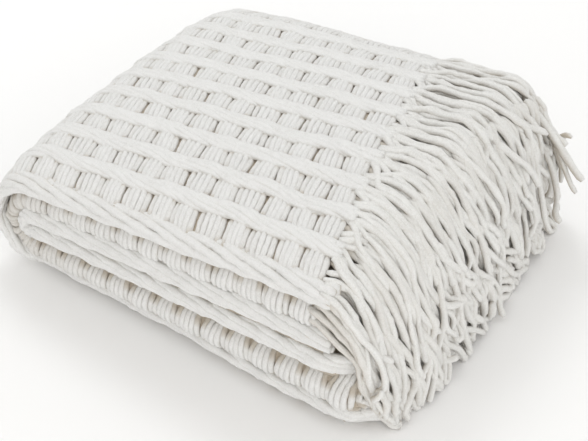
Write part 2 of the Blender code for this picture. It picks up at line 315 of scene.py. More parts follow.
def yarn_material(name, colour, shade, crevice_shade=None):
    """Soft cut-pile yarn: tufts a millimetre or so across, with painted shade between them mixed into the
    yarn's own uneven tone, and a velvety sheen.

    The last colour, if given, is painted shade down between neighbouring yarns, laid on where the yarn's
    shade attribute is low.
    """
    material = bpy.data.materials.new(name)
    material.use_nodes = True
    tree = material.node_tree
    shader = tree.nodes["Principled BSDF"]
    place = tree.nodes.new("ShaderNodeTexCoord")

    def noise(scale):
        node = tree.nodes.new("ShaderNodeTexNoise")
        node.inputs["Scale"].default_value = scale
        node.inputs["Detail"].default_value = 2.0
        node.inputs["Roughness"].default_value = 0.6
        tree.links.new(place.outputs["Object"], node.inputs["Vector"])
        return node.outputs["Fac"]

    def sum_of(first, weight, second):
        node = tree.nodes.new("ShaderNodeMath")
        node.operation = "MULTIPLY_ADD"
        node.inputs[1].default_value = weight
        tree.links.new(first, node.inputs[0])
        tree.links.new(second, node.inputs[2])
        return node.outputs[0]

    knots = noise(KNOTS)
    pile = sum_of(noise(FINE_PILE), 0.45, noise(TUFTS))
    tone = sum_of(knots, 0.45, sum_of(noise(CLOUDS), 0.35, pile))
    share = tree.nodes.new("ShaderNodeMapRange")
    share.inputs["From Min"].default_value = SHADE_TONE
    share.inputs["From Max"].default_value = COLOUR_TONE
    tree.links.new(tone, share.inputs["Value"])
    blend = tree.nodes.new("ShaderNodeMix")
    blend.data_type = "RGBA"
    blend.inputs["A"].default_value = (*shade, 1.0)
    blend.inputs["B"].default_value = (*colour, 1.0)
    tree.links.new(share.outputs["Result"], blend.inputs["Factor"])
    tint = blend.outputs["Result"]
    # painted crevice shade, mixed in by the shade value of each point
    if crevice_shade:
        shade_attribute = tree.nodes.new("ShaderNodeAttribute")
        shade_attribute.attribute_name = "shade"
        crevice_shading = tree.nodes.new("ShaderNodeMix")
        crevice_shading.data_type = "RGBA"
        crevice_shading.inputs["A"].default_value = (*crevice_shade, 1.0)
        tree.links.new(shade_attribute.outputs["Fac"], crevice_shading.inputs["Factor"])
        tree.links.new(tint, crevice_shading.inputs["B"])
        tint = crevice_shading.outputs["Result"]
    tree.links.new(tint, shader.inputs["Base Color"])
    bump = tree.nodes.new("ShaderNodeBump")
    bump.inputs["Strength"].default_value = 0.8
    bump.inputs["Distance"].default_value = 0.0012
    tree.links.new(sum_of(knots, 0.8, pile), bump.inputs["Height"])
    tree.links.new(bump.outputs["Normal"], shader.inputs["Normal"])
    shader.inputs["Roughness"].default_value = 0.92
    shader.inputs["Sheen Weight"].default_value = 0.25
    shader.inputs["Sheen Roughness"].default_value = 0.5
    shader.inputs["Specular IOR Level"].default_value = 0.12
    return material


# The ground's brown is painted shade: it shows only down in the gaps between the yarns, where shadow falls.
ground_shade_yarn = yarn_material("ground_weave_painted_shade", (0.56, 0.49, 0.40), (0.44, 0.37, 0.28))
cloth = ground_cloth(ground_shade_yarn)
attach(cloth, "root")
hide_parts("cloth")

# Weft of the throw: fat soft chenille strands, woven from front to back over the ground in blocks of five.
# Each block swells between two warp ridges and is drawn together under them, so that small gaps open at
# its corners.
ROW_PITCH = 0.0329               # from one warp ridge to the next
BLOCK_PITCH = 0.0255             # from one block to the next along a ridge
STRANDS = 5
BEND_RADIUS = 0.049              # of the left bend's outside, for lengths of yarn round it
BEND_LENGTH = math.pi * BEND_RADIUS
BEND_MIDDLE = FLAP_FRONT - BEND_START + BEND_LENGTH / 2
FOLD_LENGTH = math.pi * (1.5 * LAYER + GROUND / 2 + 0.002)      # round the middle of the yarns on a fold
HAIRPIN = np.pi * 0.6            # yarns end within the cloth's turn at the lower ends

# The weft's last colour is painted shade between strands; its second is partly painted shade between tufts.
weft_yarn = yarn_material("weft_chenille", (0.89, 0.89, 0.88), (0.80, 0.795, 0.775), (0.50, 0.43, 0.33))


def run_round(end, run, out, depth_mid, rise_mid, lift):
    """Lays points at a length of run from a right end: along the top, round the left bend, back below.

    out is the cloth's outward direction in the packet's section, depth_mid and rise_mid the middle line of
    the doubled cloth, and lift the distance from that line.
    """
    top = end - BEND_START
    turn = np.clip((run - top) / BEND_RADIUS, 0.0, np.pi)
    below = np.clip(run - top - BEND_LENGTH, 0.0, None)
    last = lower_end(depth_mid, rise_mid)
    over = np.clip(BEND_START + below - last, 0.0, None)
    hairpin = np.clip(over / (LAYER / 2 + GROUND / 2), 0.0, HAIRPIN)
    reach = lift * np.cos(hairpin)
    depth = depth_mid + out[0] * reach
    rise = rise_mid + out[1] * reach
    radius = BEND_CENTRE + rise
    on_top = run < top
    x = np.where(on_top, end - run, BEND_START - bend_reach(radius, turn))
    x = np.where(below > 0, np.minimum(BEND_START + below, last) + lift * np.sin(hairpin), x)
    press = 1.0 - (1.0 - PRESSED) * turn / np.pi
    level = np.where(on_top, AXIS_HEIGHT + radius, AXIS_HEIGHT + radius * np.cos(turn) * press)
    return settle(x, depth, level)


def lay(face, across, run, lift):
    """Place of points on one face of the folded throw.

    across is measured round the fold from where the cloth begins to turn, run from the right end, and lift
    from the middle of the ground cloth. The faces are the top with its fold at the back, the fold below it
    at the back, and the fold at the front.
    """
    across, run, lift = np.broadcast_arrays(across, run, lift)
    centre_rise = {"top": 2 * LAYER, "back": -2 * LAYER, "front": 0.0}[face]
    bulge = -1.0 if face == "front" else 1.0
    centre_depth = FRONT_FOLD if face == "front" else BACK_FOLD
    angle = np.pi / 2 - np.clip(across / FOLD_LENGTH, 0.0, 1.0) * np.pi
    before = np.minimum(across, 0.0)
    after = np.maximum(across - FOLD_LENGTH, 0.0)
    out = (bulge * np.cos(angle), np.sin(angle))
    depth_mid = centre_depth + bulge * (LAYER * np.cos(angle) + before - after)
    rise_mid = centre_rise + LAYER * np.sin(angle)
    if face == "top":
        end = upper_end(depth_mid, rise_mid)
    elif face == "back":
        end = np.full_like(depth_mid, UPPER_END)
    else:
        end = np.full_like(depth_mid, UPPER_INNER_END)
    return run_round(end, run, out, depth_mid, rise_mid, LAYER / 2 + lift)


def soft_noise(count, length, spacing):
    """Smooth random values along each of many paths, about one independent value per spacing rings."""
    knots = max(int(length / spacing) + 2, 3)
    rough = dice.standard_normal((count, knots))
    at = np.linspace(0.0, knots - 1.0, length)
    low = np.minimum(at.astype(int), knots - 2)
    share = at - low
    share = share * share * (3.0 - 2.0 * share)
    return rough[:, low] * (1.0 - share) + rough[:, low + 1] * share


TUBE_END = 0.7                   # a strand is thinner at its ends
LUMPS = 0.07                     # unevenness of its surface, as a share of its radius
ON_FLOOR = 0.0002                # no yarn lies lower than this


def tube_mesh(name, centres, outward, radius, sides, material, shade_to_light, flat=1.0, lit_share=1.0):
    """Closed tubes along many paths at once, in one mesh. centres has a row for each tube.

    outward gives the direction in which a tube is flat times as high as it is wide, and its side without
    painted shade. Each point gets a shade value, rising from 0 to 1 as its place round the tube goes from one
    end of the given range to the other, times the given share of light; the material paints low values with
    darker shade.
    """
    count, length = centres.shape[:2]
    along = np.gradient(centres, axis=1)
    along /= np.linalg.norm(along, axis=2, keepdims=True) + 1e-12
    side = np.cross(along, outward)
    side /= np.linalg.norm(side, axis=2, keepdims=True) + 1e-12
    up = np.cross(side, along)
    turn = np.linspace(0.0, 2 * np.pi, sides, endpoint=False)
    ring = side[:, :, None] * np.cos(turn)[:, None] + up[:, :, None] * flat * np.sin(turn)[:, None]
    radius = np.broadcast_to(np.asarray(radius, float), (count, length)).copy()
    radius[:, 0] *= TUBE_END
    radius[:, -1] *= TUBE_END
    lumps = 1.0 + LUMPS * dice.standard_normal((count, length, sides))
    points = centres[:, :, None] + ring * (radius[:, :, None] * lumps)[..., None]
    points = points.reshape(-1, 3) + corner
    points[:, 2] = np.maximum(points[:, 2], ON_FLOOR)
    base = np.arange(count)[:, None, None] * length * sides
    step = np.arange(length - 1)[None, :, None] * sides
    k = np.arange(sides)[None, None, :]
    a = base + step + k
    b = base + step + (k + 1) % sides
    faces = np.stack([a, b, b + sides, a + sides], axis=-1).reshape(-1, 4).tolist()
    for tube in range(count):
        first = tube * length * sides
        last = first + (length - 1) * sides
        faces.append([first + j for j in range(sides)][::-1])
        faces.append([last + j for j in range(sides)])
    piece = add_mesh(name, points, faces, material)
    # painted shade: low on a tube's underside and flanks, lower still where less light is given
    shade = np.clip((np.sin(turn) - shade_to_light[0]) / (shade_to_light[1] - shade_to_light[0]), 0.0, 1.0)
    shade = shade * np.broadcast_to(lit_share, (count, length))[:, :, None]
    values = shade.ravel().tolist()
    piece.data.attributes.new("shade", "FLOAT", "POINT").data.foreach_set("value", values)
    return piece


FIRST_MIDDLE = 0.62              # the first block's middle, in blocks from the right end
BLOCK_HALF = {"top": 0.0096, "back": 0.0096, "front": 0.0101}   # middle of a block to its last strand
STRAND_RADIUS = 0.0029
CROWN = 0.0014                   # the middle strands of a block lie this much higher
SUNK = 0.0009                    # a strand is pressed this far into the ground
SWELL = 0.0018                   # and rises this much between the ridges
HEM_DROP = 0.0014                # a strand lies this much lower at the hem it starts from
HEM_WIDTH = 0.011
NECK_WIDTH = 0.80                # a block's width under the ridges, as a share of its full width
BELLY_WIDTH = 0.20
NECK_THICK = 0.88                # and a strand's thickness there
BELLY_THICK = 0.12
BELLY_POWER = 0.7                # a block is full for most of its length
SHORTEST = 0.01
BLOCK_UNLIKE = 0.012             # no two blocks are alike in width or place
BLOCK_SHIFT = 0.0005
WOBBLE = 0.0002
UNEVEN_LIFT = 0.0003
UNEVEN_THICK = 0.035
SIDE_SHADE = 0.06                 # painted shade: how much darker the outer strands, the corners and the ridge's foot are
CORNER_SHADE = 0.60
FOOT_SHADE = 0.05
SHADE_REACH = 0.31                # reach of the painted shade at a block's corners, in rows from the ridge
SHADE_FADE = 0.11
BEND_SHADE = 0.35                 # and painted shade inside the left bend, most of all in its middle
BEND_SHADE_LENGTH = 0.09


def block_places(first, last):
    """Middle run of every weft strand of some blocks, with its place across its block from -1 to 1."""
    half = (STRANDS - 1) / 2
    return np.array([((block + FIRST_MIDDLE) * BLOCK_PITCH, (strand - half) / half)
                     for block in range(first, last) for strand in range(STRANDS)])


def weft(name, face, blocks, first, last, steps, sides, ridge_at, last_of=None):
    """Weft strands of some blocks on one face, from one place across it to another."""
    places = block_places(*blocks)
    if face == "front":                      # inside the bend there is room for three strands of five
        in_bend = np.abs(places[:, 0] - BEND_MIDDLE) < BEND_LENGTH / 2
        places = places[~(in_bend & (np.abs(places[:, 1]) == 0.5))]
    last_across = np.full(len(places), last) if last_of is None else last_of(places[:, 0])
    keep = last_across > first + SHORTEST
    places, last_across = places[keep], last_across[keep]
    count = len(places)
    middle, in_block = places[:, :1], places[:, 1:]
    across = first + (last_across[:, None] - first) * np.linspace(0.0, 1.0, steps)[None, :]
    phase = (across - ridge_at) / ROW_PITCH
    swell = np.abs(np.sin(np.pi * phase)) ** BELLY_POWER
    row = np.floor(phase).astype(int)
    block = np.round(middle / BLOCK_PITCH * 10).astype(int)
    spread = BLOCK_HALF[face] * (NECK_WIDTH + BELLY_WIDTH * swell)
    spread = spread * (1.0 + BLOCK_UNLIKE * np.sin(row * 5.1 + block * 2.3))
    shift = BLOCK_SHIFT * np.sin(row * 2.7 + block * 1.7)
    run = middle + in_block * spread + shift + WOBBLE * soft_noise(count, steps, 4)
    crown = CROWN * (1.0 - in_block ** 2)
    uneven = UNEVEN_LIFT * soft_noise(count, steps, 8)
    lift = GROUND / 2 - SUNK + SWELL * swell + crown * swell + uneven
    lift = lift - HEM_DROP * np.exp(-((across - first) / HEM_WIDTH) ** 2)
    centres = lay(face, across, run, lift)
    outward = lay(face, across, run, lift + 0.001) - centres
    radius = STRAND_RADIUS * (NECK_THICK + BELLY_THICK * swell)
    radius = radius * (1.0 + UNEVEN_THICK * soft_noise(count, steps, 2))
    # Painted shade: the outer strands of each block, its corners and foot near the ridges, and the inside of
    # the left bend are darkened.
    near_ridge = np.clip((SHADE_REACH - np.abs(phase - np.round(phase))) / SHADE_FADE, 0.0, 1.0)
    lit_share = 1.0 - (SIDE_SHADE + CORNER_SHADE * near_ridge) * in_block ** 6 - FOOT_SHADE * near_ridge
    if face == "front":
        lit_share = lit_share * (1.0 - BEND_SHADE * np.exp(-((run - BEND_MIDDLE) / BEND_SHADE_LENGTH) ** 2))
    piece = tube_mesh(name, centres, outward, radius, sides, weft_yarn, (-0.9, 0.3), lit_share=lit_share)
    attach(piece, "root")
    return piece


OVERLAP = 0.012                  # strands run on this far past a fold
FOLD_OVERLAP = 0.02
SHEET_SPARE = 0.006
TOP_START = SELVAGE - BACK_FOLD              # the front selvage, measured from the back fold
TOP_LAST = FOLD_LENGTH + OVERLAP
TOP_LENGTH = FLAP_FRONT - BEND_START
FRONT_RUN = TOP_LENGTH + BEND_LENGTH + LOWER_END - BEND_START
FRONT_RIDGE = FOLD_LENGTH / 2 - ROW_PITCH / 2
FOLD_LAST = FOLD_LENGTH + FOLD_OVERLAP


def last_on_sheet(run):
    """How far back a strand of the top face reaches before the skewed cloth runs out of it below."""
    spare = (FRONT_RUN - SHEET_SPARE - run) / FLAP_SKEW * DEPTH_RIGHT
    return np.minimum(TOP_START + spare, TOP_LAST)


weft_strands = (
    ("weft_top", "top", (0, 12), TOP_START, TOP_LAST, 132, 8, TOP_START, last_on_sheet),
    ("weft_bend", "top", (12, 19), TOP_START, TOP_LAST, 120, 8, TOP_START, last_on_sheet),
    ("weft_under", "top", (19, 33), TOP_START, TOP_LAST, 90, 6, TOP_START, last_on_sheet),
    ("weft_corner", "top", (27, 31), -OVERLAP, TOP_LAST, 40, 6, TOP_START),
    ("weft_front", "front", (0, 32), -FOLD_OVERLAP, FOLD_LAST, 30, 8, FRONT_RIDGE),
    ("weft_back", "back", (0, 32), -FOLD_OVERLAP, FOLD_LAST, 28, 8, FRONT_RIDGE))
pieces = [weft(*strands) for strands in weft_strands]

# Warp ridges: between two rows of blocks the chenille warp yarns are twisted round each other into a soft
# flat rope, which holds the weft down. Each rope runs unbroken from the first end over the top, round the
# left bend and back below.
PLIES = tuple(sixth * math.pi / 3 for sixth in range(6))
ROPE_WAVE = 5.2 * BLOCK_PITCH    # length over which a ply goes once round its rope
ROPE_WIDE = 0.0048
ROPE_HIGH = 0.0012
ROPE_LIFT = 0.0025
PLY_RADIUS = 0.0037
PLY_FLAT = 0.72
# range round a ply over which its painted shade gives way to full light
PLY_SHADE_TO_LIGHT = (-0.9, 0.3)
SLACK = 0.08                     # no two ropes are twisted alike
BEAT = 0.004
UNEVEN_BEAT = 0.003
WANDER = 0.0008
UNEVEN_PLY = 0.05
PLY_SWELL = 0.07
ROPE_START = -0.004
ROPE_STEP = 0.0045
BACK_ROPE_STEP = 0.0050
BACK_RUN = 0.782                 # run at which the ropes at the back end
END_SPARE = 0.002
# The warp's last colour is painted shade between plies; its second is partly painted shade between tufts.
warp_yarn = yarn_material("warp_chenille", (0.89, 0.89, 0.88), (0.81, 0.805, 0.785), (0.60, 0.54, 0.45))


def rope_offsets(run, wide, high, pitch):
    """Sideways and upward offsets of the plies of a flat rope along a run of lengths."""
    angle = 2 * np.pi * run / pitch
    start = np.array(PLIES)[:, None]
    return wide * np.sin(angle + start), high * np.cos(angle + start)


def ridge_ropes(name, face, places, run_last_of, step, sides):
    """Ropes along the ridges of one face."""
    steps = int((max(run_last_of(place) for place in places) - ROPE_START) / step)
    centres, outward = [], []
    for place in places:
        run = np.linspace(ROPE_START, run_last_of(place), steps)[None, :]
        slack = 1.0 + SLACK * math.sin(place * 97.0)
        beat = run + BEAT * math.sin(place * 210.0) + UNEVEN_BEAT * np.sin(run * 41.0 + place * 300.0)
        side, up = rope_offsets(beat, ROPE_WIDE, ROPE_HIGH, ROPE_WAVE * slack)
        wander = WANDER * np.sin(run * 95.0 + place * 50.0)
        lift = GROUND / 2 + ROPE_LIFT + up + UNEVEN_LIFT * soft_noise(len(PLIES), steps, 4)
        across = place + side + wander
        run = np.broadcast_to(run, across.shape)
        here = lay(face, across, run, lift)
        centres.append(here)
        outward.append(lay(face, across, run, lift + 0.001) - here)
    centres = np.concatenate(centres)
    radius = PLY_RADIUS * (1.0 + UNEVEN_PLY * soft_noise(len(centres), steps, 2))
    radius = radius * (1.0 + PLY_SWELL * np.sin(2 * np.pi * run[0] / BLOCK_PITCH))
    piece = tube_mesh(name, centres, np.concatenate(outward), radius, sides, warp_yarn, PLY_SHADE_TO_LIGHT, PLY_FLAT)
    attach(piece, "root")
    return piece


def top_run_end(place):
    """Run at which a rope of the top face comes to the cloth's lower end."""
    depth = max(BACK_FOLD + min(place, 0.0), 0.0)
    back = depth / DEPTH_RIGHT
    return FRONT_RUN - FLAP_SKEW * back - END_BACK * back ** 2 - END_SPARE


top_ridges = [TOP_START + row * ROW_PITCH for row in range(1, 12)]
fold_ridges = [FRONT_RIDGE, FRONT_RIDGE + ROW_PITCH]
pieces.append(ridge_ropes("ridges_of_front_rows", "top", top_ridges[:6], top_run_end, ROPE_STEP, 8))
pieces.append(ridge_ropes("ridges_of_back_rows", "top", top_ridges[6:], top_run_end, ROPE_STEP, 8))
pieces.append(ridge_ropes("ridges_back", "back", fold_ridges, lambda place: BACK_RUN, BACK_ROPE_STEP, 7))

# Selvages: along each long edge of the cloth a thicker rope of the same warp yarns binds the weft's turns.
# Both show at the open front. Each runs from the right end round the left bend and back, and turns in
# round the front right corner.
SELVAGE_WAVE = 8.4 * BLOCK_PITCH
SELVAGE_START = -0.006
SELVAGE_STEP = 0.0042
CORNER_RADIUS = 0.040
CORNER_LENGTH = 0.050
LOW_FROM = 0.32                  # from this run on a rope goes over to its lower rise
LOW_FADE = 0.14
SELVAGE_SWELL = 0.10


def edge_line(depth, rise, run, end):
    """Place of points near a selvage, given straight by their depth and rise in the packet."""
    depth, rise, run = np.broadcast_arrays(depth, rise, run)
    zero = np.zeros_like(depth)
    return run_round(np.full_like(depth, end), run, (zero, zero), depth, rise, zero)


def selvage_rope(name, depth, rises, wide, high, thick, end, corner_run, tuck):
    """A twisted rope along a front edge, which begins to turn in at a run of corner_run."""
    run_last = corner_run + CORNER_LENGTH
    steps = int(run_last / SELVAGE_STEP)
    run = np.linspace(SELVAGE_START, run_last, steps)[None, :]
    beat = run + UNEVEN_BEAT * np.sin(run * 37.0 + rises[0] * 900.0)
    side, up = rope_offsets(beat, wide, high, SELVAGE_WAVE)
    low = np.clip((run - LOW_FROM) / LOW_FADE, 0.0, 1.0)
    rise = rises[0] + (rises[1] - rises[0]) * low + up
    here = depth + side + tuck * low
    run = np.broadcast_to(run, side.shape)
    before = np.minimum(run, corner_run)
    turn = (run - before) / CORNER_RADIUS
    centres = edge_line(here, rise, before, end)
    # The side of the rope that faces out to the front and up is free of painted shade.
    outward = edge_line(here - 0.001, rise + 0.001 * (1.0 - 2.0 * low), before, end) - centres
    centres[:, :, 0] += (CORNER_RADIUS + side) * np.sin(turn)
    centres[:, :, 1] += (CORNER_RADIUS - side) * (1.0 - np.cos(turn))
    radius = thick * (1.0 + UNEVEN_PLY * soft_noise(len(centres), steps, 2))
    swell = np.sin(2 * np.pi * run / BLOCK_PITCH + np.array(PLIES)[:, None])
    radius = radius * (1.0 + SELVAGE_SWELL * swell)
    piece = tube_mesh(name, centres, outward, radius, 8, warp_yarn, (-0.9, 0.1))
    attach(piece, "root")
    return piece


pieces.append(selvage_rope("selvage_outer", depth=0.0066, rises=(0.0308, 0.0245), wide=0.0056, high=0.0050,
                           thick=0.0040, end=FLAP_FRONT, corner_run=0.779, tuck=0.0036))
pieces.append(selvage_rope("selvage_inner", depth=0.0066, rises=(-0.0190, -0.0345), wide=0.0038, high=0.0058,
                           thick=0.0038, end=UPPER_END, corner_run=0.764, tuck=0.0010))

# Fringe of the first end: the warp yarns of each ridge of the topmost layer run out in a thick soft cord,
# which parts into single strands of chenille. They lie over the stack and hang down its right side almost
# to the floor.
ROWS = 11
ROW_STRANDS = 14
ROOT_PITCH = 0.0017
FRINGE_RADIUS = 0.0030
RIGHT_REACH = 0.4085             # furthest right that the taut strands come
SIDE_EDGE = 0.345                # where they begin to turn down
EDGE_FOLLOWS = 0.4               # and how far that moves with each strand's own reach
HANG_FROM = 0.008
FLAP_STEP = 0.0065               # the strands drop this far from the flap to the layer below it
FLAP_STEP_LENGTH = 0.030
STRAND_POINTS = 36
SPREAD_LENGTH = 0.022            # over which a cord parts into its strands
USUAL_LENGTH = 0.17
CLUMP = 0.0125                   # strands cling together in bunches about this wide
GATHER = 0.030                   # how far the strands near the front corner lean back
GATHER_DEPTH = 0.11
LEAN = 0.034                     # and how far the middle ones do
LEAN_FROM = 0.03
LEAN_SPAN = 0.30
LEAN_WAVE = 0.003
LEAN_WAVE_LENGTH = 0.13
BACK_LIMIT = 0.322
BACK_ROOM = 0.018
BACK_DRAWN_IN = 0.027
RIGHT_SPARE = 0.003
RIGHT_ROOM = 0.006
FRONT_ROOM = 0.007
FRONT_ROUND = 0.036              # the front corner of the fringe is rounded away towards the floor
FRONT_ROUND_HEIGHT = 0.075
CORNER_DEPTH = 0.06
# The fringe's last colour is painted shade between strands; its second is partly painted shade between tufts.
fringe_yarn = yarn_material("fringe_chenille", (0.89, 0.888, 0.87), (0.79, 0.78, 0.75), (0.52, 0.45, 0.36))


def hold_back(values, start, room):
    """Values with what passes start drawn in, so that none gets further than room beyond it."""
    past = (values - start) / room
    return np.where(past > 0.0, start + room * np.tanh(past), values)


def hanging_line(x0, y0, z0, reach):
    """Places along a taut strand, seen from the front: over the stack, round its edge and down."""
    edge = SIDE_EDGE - EDGE_FOLLOWS * (RIGHT_REACH - reach)
    line = [(x0, z0)]
    if edge > x0 + 0.004:
        for x in np.linspace(x0, edge, 14)[1:]:
            fallen = FLAP_STEP * min((x - x0) / FLAP_STEP_LENGTH, 1.0)
            line.append((x, z0 * float(stack_height(x, y0) / stack_height(x0, y0)) - fallen))
    corner_x, corner_z = line[-1]
    foot = min(HANG_FROM, 0.5 * corner_z)
    for a in np.linspace(0.0, np.pi / 2, 22)[1:]:
        line.append((corner_x + (reach - corner_x) * math.sin(a), foot + (corner_z - foot) * math.cos(a)))
    line.append((reach + 0.001, 0.004))
    return np.array(line)


def strand_paths(roots, reach, lengths, curl, bunch):
    """Paths of hanging strands. A root is its place and the line across that the strand spreads to."""
    count = len(roots)
    paths = np.zeros((count, STRAND_POINTS, 3))
    share = np.linspace(0.0, 1.0, STRAND_POINTS)
    for index, (x0, y0, z0, y1) in enumerate(roots):
        y1 = max(y1, 0.002)
        line = hanging_line(x0, y0, z0, reach[index])
        run = np.concatenate([[0.0], np.cumsum(np.linalg.norm(np.diff(line, axis=0), axis=1))])
        want = share * min(lengths[index], run[-1])
        spread = np.clip((want - 0.001) / SPREAD_LENGTH, 0.0, 1.0)
        spread = spread * spread * (3.0 - 2.0 * spread)
        middle = CLUMP * (math.floor(y1 / CLUMP + bunch) + 0.5 - bunch)
        bunched = 0.5 * (middle - y1) * np.sin(np.pi * np.minimum(share * 1.2, 1.0)) * spread
        y = y0 + (y1 - y0) * spread + bunched
        gather = GATHER * max(1.0 - y1 / GATHER_DEPTH, 0.0)
        gather = gather + LEAN_WAVE * math.sin(2 * math.pi * y1 / LEAN_WAVE_LENGTH)
        lean = LEAN * math.sin(math.pi * min(max((y1 - LEAN_FROM) / LEAN_SPAN, 0.0), 1.0))
        y = y + want / USUAL_LENGTH * gather + (want / USUAL_LENGTH) ** 1.7 * lean
        paths[index, :, 0] = np.interp(want, run, line[:, 0])
        paths[index, :, 1] = y
        paths[index, :, 2] = np.interp(want, run, line[:, 1])
    loose = share ** 1.5 * curl[:, None]
    for axis, far, growth, spacing in (
            (1, 0.0080, loose, 13), (0, 0.0045, loose, 9), (2, 0.0045, loose, 9), (1, 0.0015, 1.0, 8),
            (1, 0.0050, share ** 5, 7), (0, 0.0007, 1.0, 4), (2, 0.0006, 1.0, 4)):
        paths[:, :, axis] += far * growth * soft_noise(count, STRAND_POINTS, spacing)
    paths[:, :, 1] = hold_back(paths[:, :, 1], BACK_LIMIT, BACK_ROOM)
    drawn_in = BACK_DRAWN_IN * (paths[:, :, 1] / DEPTH_RIGHT) ** 2
    paths[:, :, 0] = hold_back(paths[:, :, 0] + drawn_in, RIGHT_REACH + RIGHT_SPARE, RIGHT_ROOM) - drawn_in
    front = 0.002 + FRONT_ROUND * np.clip(1.0 - paths[:, :, 2] / FRONT_ROUND_HEIGHT, 0.0, 1.0)
    paths[:, :, 1] = front - hold_back(front - paths[:, :, 1], -FRONT_ROOM, FRONT_ROOM)
    paths[:, :, 2] = np.maximum(paths[:, :, 2], 0.003)
    return paths


def turn_back(path, width):
    """A strand whose end is bent back on itself into a loop, as two strands spun together are."""
    at = np.linspace(0.0, 1.0, 25)
    down = np.stack([np.interp(at, np.linspace(0.0, 1.0, len(path)), path[:, k]) for k in range(3)], axis=1)
    ahead = down[-1] - down[-3]
    ahead /= np.linalg.norm(ahead)
    side = np.cross(ahead, (0.95, 0.0, 0.31))
    side /= np.linalg.norm(side)
    half = width / 2
    turns = np.linspace(0.0, math.pi, 7)[1:, None]
    bow = down[-1] + side * half * (1.0 - np.cos(turns)) + ahead * half * np.sin(turns)
    return np.concatenate([down, bow, down[-2:-7:-1] + side * width])


def stray(path, tip):
    """A strand that leaves the others half way and ends at a given place."""
    half = STRAND_POINTS // 2
    start, ahead = path[half], (path[half] - path[half - 3]) * 3
    tip = np.array(tip)
    t = np.linspace(0.0, 1.0, STRAND_POINTS - half)[:, None]
    before = tip - np.array([0.016, 0.0, -0.010])
    curve = ((1 - t) ** 3 * start + 3 * (1 - t) ** 2 * t * (start + ahead)
             + 3 * (1 - t) * t ** 2 * before + t ** 3 * tip)
    return np.concatenate([path[:half], curve])


# A strand's outer side is free of painted shade: it faces up over the stack, turns right down the side and
# partly back at the back.
SIDE_TURN = 0.055                # over which the strands' outer side turns from up to the right
BACK_TURN = 0.06                 # and over which it turns to the back
BACK_TURN_FROM = 0.27
BACKWARD = 0.6
UNLIKE_THICK = 0.10


def fringe(name, paths, node, root_shade, root_shade_length):
    """Tubes along the strands, with painted shade on each strand's root by the given share, fading out along
    the given share of its length, where it lies down between the others.
    """
    count = len(paths)
    sideways = np.clip((paths[:, :, 0] - SIDE_EDGE) / SIDE_TURN, 0.02, 0.98)
    backward = BACKWARD * np.clip((paths[:, :, 1] - BACK_TURN_FROM) / BACK_TURN, 0.0, 1.0)
    outward = np.stack([sideways, backward, 1.0 - sideways], axis=-1)
    lit_share = 1.0 - root_shade[:, None] * np.exp(-(np.linspace(0.0, 1.0, STRAND_POINTS) / root_shade_length) ** 2)
    own = FRINGE_RADIUS * (1.0 + UNLIKE_THICK * dice.standard_normal((count, 1)))
    radius = own * (1.0 + UNLIKE_THICK * soft_noise(count, STRAND_POINTS, 2))
    piece = tube_mesh(name, paths, outward, radius, 8, fringe_yarn, (-1.1, 0.3), lit_share=lit_share)
    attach(piece, "root")
    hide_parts(node)
    return piece


def shares(roots):
    """How far back each root lies and how near the front corner, both from 0 to 1."""
    depths = np.array([root[1] for root in roots])
    return depths / DEPTH_RIGHT, np.maximum(1.0 - depths / CORNER_DEPTH, 0.0)


LENGTH = 0.158                   # of the first end's strands, from root to tip
BACK_SHORTER = 0.018
UNLIKE_LENGTH = 0.019
BACK_REACH_LESS = 0.026          # the strands at the back and at the front corner reach less far right
FRONT_REACH_LESS = 0.009
UNLIKE_REACH = 0.0012
UNLIKE_ACROSS = 0.0032
ROOT_RUN = 0.004                 # the roots lie this far in from the cloth's end
ROOT_SUNK = 0.0004
UPPER_RISE = 0.0036              # every other strand of a cord lies on the ones beside it
UNDER_REACH_LESS = 0.0062
LOOP_WIDTH = 0.0070
roots, reach = [], []
for row in range(ROWS):
    place = TOP_START + row * ROW_PITCH
    for strand in range(ROW_STRANDS):
        upper = strand % 2
        from_middle = strand - (ROW_STRANDS - 1) / 2
        root_lift = GROUND / 2 - ROOT_SUNK + UPPER_RISE * upper
        spot = lay("top", place + ROOT_PITCH * from_middle, ROOT_RUN, root_lift)
        line_across = float(spot[1]) + from_middle * ROW_PITCH / 14.2 + UNLIKE_ACROSS * dice.standard_normal()
        roots.append((*[float(v) for v in spot], line_across))
        reach.append(RIGHT_REACH - UNDER_REACH_LESS * (1 - upper) + UNLIKE_REACH * dice.standard_normal())
back_share, front_share = shares(roots)
lengths = LENGTH - BACK_SHORTER * back_share ** 2 + UNLIKE_LENGTH * dice.standard_normal(len(roots))
reach = np.array(reach) - BACK_REACH_LESS * back_share ** 3 - FRONT_REACH_LESS * front_share
paths = strand_paths(roots, reach, lengths, 0.7 + 0.9 * dice.random(len(roots)), 0.0)
for index in range(5, len(roots), ROW_STRANDS):
    paths[index] = turn_back(paths[index], LOOP_WIDTH)
stray_tips = {150: (0.398, 0.320, 0.112), 146: (0.397, 0.313, 0.107), 142: (0.420, 0.306, 0.084),
              138: (0.418, 0.300, 0.073), 131: (0.414, 0.285, 0.047), 127: (0.408, 0.280, 0.037),
              89: (0.415, 0.195, 0.005), 77: (0.411, 0.172, 0.004), 64: (0.415, 0.140, 0.004)}
for index, tip in stray_tips.items():
    paths[index] = stray(paths[index], tip)
# Painted shade on the root of the lower strand of each pair, down between the others.
root_shade = 0.7 * (np.arange(len(roots)) % 2 == 0)
pieces.append(fringe("fringe_of_first_end", paths, "fringe_upper", root_shade, 0.08))

